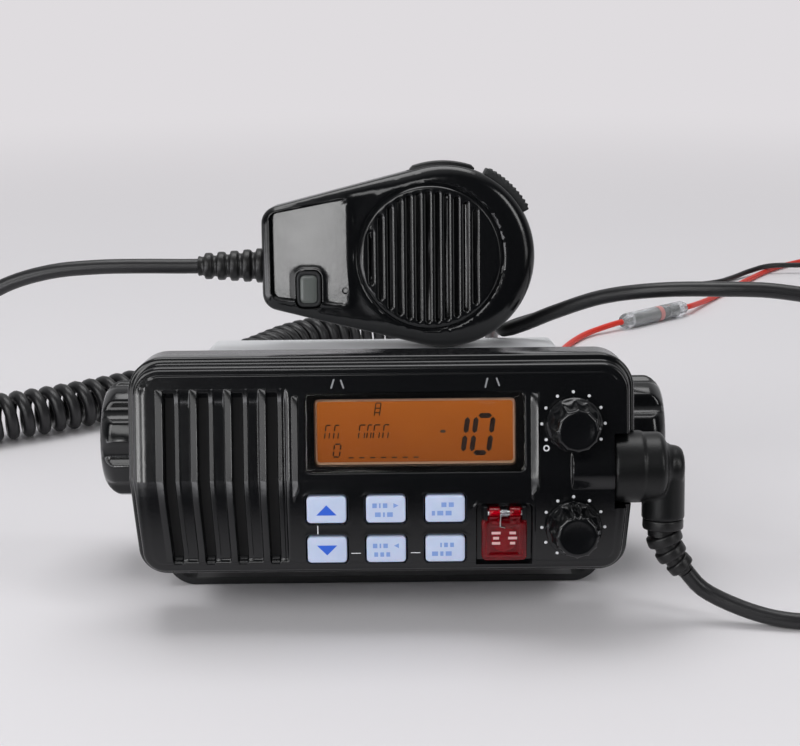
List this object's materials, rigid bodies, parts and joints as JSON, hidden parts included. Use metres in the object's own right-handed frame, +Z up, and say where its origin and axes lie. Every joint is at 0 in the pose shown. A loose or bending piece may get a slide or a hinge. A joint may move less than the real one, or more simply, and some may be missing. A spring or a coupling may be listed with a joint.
{
  "type": "marine radio",
  "caption": "Fixed-mount marine VHF radio in a tilting U bracket, with knobs, keys, a display, a fist microphone on a curly cord and power leads.",
  "frame": {"origin": "middle of the underside of the bracket's base, on the surface it stands on", "axes": "+X to the right seen from the front, +Y to the back (the display faces -Y), +Z up"},
  "size_m": [0.4876, 0.5546, 0.138],
  "materials": {
    "bracket_paint": "satin",
    "panel_gloss": "gloss",
    "knob_gloss": "gloss",
    "case_casting": "satin",
    "cover_paint": "gloss",
    "steel": "satin",
    "nickel": "gloss",
    "black_rubber": "matte",
    "grey_rubber": "matte",
    "key_plastic": "satin",
    "clear_window": "gloss",
    "amber_cell": "gloss",
    "white_plastic": "satin",
    "circuit_board": "satin",
    "red_window": "gloss",
    "black_fabric": "matte",
    "mic_plastic": "satin",
    "red_rubber": "satin",
    "clear_holder": "gloss"
  },
  "bodies": {
    "bracket": {"mounting_bracket": "bracket_paint"},
    "radio": {"pivot_washers": "black_rubber", "chassis": "case_casting", "top_cover": "cover_paint", "bottom_cover": "cover_paint", "cover_screws": "steel", "front_gasket": "black_rubber", "panel_screws": "steel", "front_panel": "panel_gloss", "display_lens": "clear_window", "lcd_cell": "amber_cell", "backlight": "white_plastic", "front_board": "circuit_board", "keypad_mat": "grey_rubber", "volume_pot": "steel", "squelch_pot": "steel", "distress_pin": "steel", "speaker_frame": "case_casting", "speaker_cone": "black_fabric", "speaker_cloth": "black_fabric", "main_board": "circuit_board", "shield_can": "steel", "antenna_socket": "nickel", "power_grommet": "black_rubber", "mic_socket": "steel", "mic_plug": "mic_plastic", "plug_boot": "black_rubber", "mic_cord_lead": "black_rubber", "mic_cord_curl": "black_rubber", "mic_cord_tail": "black_rubber", "power_lead_red": "red_rubber", "power_lead_black": "black_rubber", "fuse_holder": "clear_holder", "fuse": "steel"},
    "clamp_left": {"clamp_knob_left": "knob_gloss", "clamp_bolt_left": "steel"},
    "clamp_right": {"clamp_knob_right": "knob_gloss", "clamp_bolt_right": "steel"},
    "volume": {"volume_shaft": "steel", "volume_knob": "knob_gloss"},
    "squelch": {"squelch_shaft": "steel", "squelch_knob": "knob_gloss"},
    "distress_cover": {"distress_cover": "red_window"},
    "distress_button": {"distress_button": "white_plastic"},
    "microphone": {"mic_front_shell": "mic_plastic", "mic_rear_shell": "mic_plastic", "mic_screws": "steel", "mic_board": "circuit_board", "mic_capsule": "steel", "mic_boot": "black_rubber", "mic_hanger": "steel"},
    "talk_bar": {"talk_bar": "black_rubber"},
    "channel_rocker": {"channel_rocker": "black_rubber"},
    "mic_key": {"mic_key": "black_rubber"},
    "up_key": {"up_key": "key_plastic"},
    "right_key": {"right_key": "key_plastic"},
    "channel_key": {"channel_key": "key_plastic"},
    "down_key": {"down_key": "key_plastic"},
    "left_key": {"left_key": "key_plastic"},
    "watch_key": {"watch_key": "key_plastic"}
  },
  "joints": [
    {"name": "tilt", "type": "hinge", "parent": "bracket", "child": "radio", "pos_m": [0, 0, 0.044], "axis": [-1, 0, 0], "range_deg": [-12, 16]},
    {"name": "clamp_turn_left", "type": "hinge", "parent": "radio", "child": "clamp_left", "pos_m": [0, 0, 0.044], "axis": [-1, 0, 0], "continuous": true},
    {"name": "clamp_turn_right", "type": "hinge", "parent": "radio", "child": "clamp_right", "pos_m": [0, 0, 0.044], "axis": [1, 0, 0], "continuous": true},
    {"name": "volume_turn", "type": "hinge", "parent": "radio", "child": "volume", "pos_m": [0.0601, -0.05747, 0.06621], "axis": [0, 0.9903, -0.1392], "range_deg": [-150, 120]},
    {"name": "squelch_turn", "type": "hinge", "parent": "radio", "child": "squelch", "pos_m": [0.0601, -0.06205, 0.03363], "axis": [0, 0.9903, -0.1392], "range_deg": [-150, 120]},
    {"name": "distress_hinge", "type": "hinge", "parent": "radio", "child": "distress_cover", "pos_m": [0.0384, -0.06648, 0.03961], "axis": [-1, 0, 0], "range_deg": [0, 100], "stiffness_Nm_per_rad": 0.004, "springref_deg": -22.92},
    {"name": "distress_press", "type": "slide", "parent": "radio", "child": "distress_button", "axis": [0, 0.9903, -0.1392], "range_m": [0, 0.001], "stiffness_N_per_m": 300, "springref_m": -0.0005},
    {"name": "mic_lift", "type": "slide", "parent": "radio", "child": "microphone", "axis": [0, 0.1392, 0.9903], "range_m": [0, 0.06]},
    {"name": "talk_press", "type": "slide", "parent": "microphone", "child": "talk_bar", "axis": [0, -0.1392, -0.9903], "range_m": [0, 0.0015], "stiffness_N_per_m": 600, "springref_m": -0.0005},
    {"name": "rocker_tip", "type": "hinge", "parent": "microphone", "child": "channel_rocker", "pos_m": [0.04183, 0.02046, 0.12492], "axis": [0, 0.9903, -0.1392], "range_deg": [-4, 4], "stiffness_Nm_per_rad": 0.3},
    {"name": "mic_key_press", "type": "slide", "parent": "microphone", "child": "mic_key", "axis": [0, 0.9903, -0.1392], "range_m": [0, 0.0008], "stiffness_N_per_m": 300, "springref_m": -0.0005},
    {"name": "up_key_press", "type": "slide", "parent": "radio", "child": "up_key", "axis": [0, 0.9903, -0.1392], "range_m": [0, 0.001], "stiffness_N_per_m": 300, "springref_m": -0.0005},
    {"name": "right_key_press", "type": "slide", "parent": "radio", "child": "right_key", "axis": [0, 0.9903, -0.1392], "range_m": [0, 0.001], "stiffness_N_per_m": 300, "springref_m": -0.0005},
    {"name": "channel_key_press", "type": "slide", "parent": "radio", "child": "channel_key", "axis": [0, 0.9903, -0.1392], "range_m": [0, 0.001], "stiffness_N_per_m": 300, "springref_m": -0.0005},
    {"name": "down_key_press", "type": "slide", "parent": "radio", "child": "down_key", "axis": [0, 0.9903, -0.1392], "range_m": [0, 0.001], "stiffness_N_per_m": 300, "springref_m": -0.0005},
    {"name": "left_key_press", "type": "slide", "parent": "radio", "child": "left_key", "axis": [0, 0.9903, -0.1392], "range_m": [0, 0.001], "stiffness_N_per_m": 300, "springref_m": -0.0005},
    {"name": "watch_key_press", "type": "slide", "parent": "radio", "child": "watch_key", "axis": [0, 0.9903, -0.1392], "range_m": [0, 0.001], "stiffness_N_per_m": 300, "springref_m": -0.0005}
  ]
}
